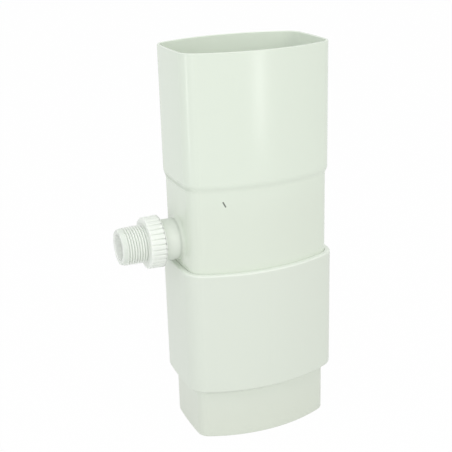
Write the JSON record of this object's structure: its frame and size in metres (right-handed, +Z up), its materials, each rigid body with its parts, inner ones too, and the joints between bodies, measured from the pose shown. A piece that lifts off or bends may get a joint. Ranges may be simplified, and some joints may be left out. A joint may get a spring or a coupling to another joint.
{
  "type": "rainwater diverter",
  "caption": "Flat-oval plastic downpipe diverter: pipe socket above, collecting trough round an overflow throat inside, ribbed threaded hose outlet at one end, sleeve and spigot below.",
  "frame": {"origin": "middle of the spigot's lower end, on the surface that the diverter stands on", "axes": "+Z up the downpipe, X along the wide side of the section, hose outlet towards -X"},
  "size_m": [0.1525, 0.0846, 0.2793],
  "materials": {
    "body_pvc": "moulded rigid PVC, pale greenish white, semi-gloss",
    "sleeve_pvc": "moulded rigid PVC, pale greenish white, semi-gloss",
    "adaptor_pvc": "moulded rigid PVC, neutral white, semi-gloss"
  },
  "bodies": {
    "root": {"upper_body": "body_pvc", "lower_sleeve": "sleeve_pvc", "outlet_adaptor": "adaptor_pvc"}
  },
  "joints": []
}
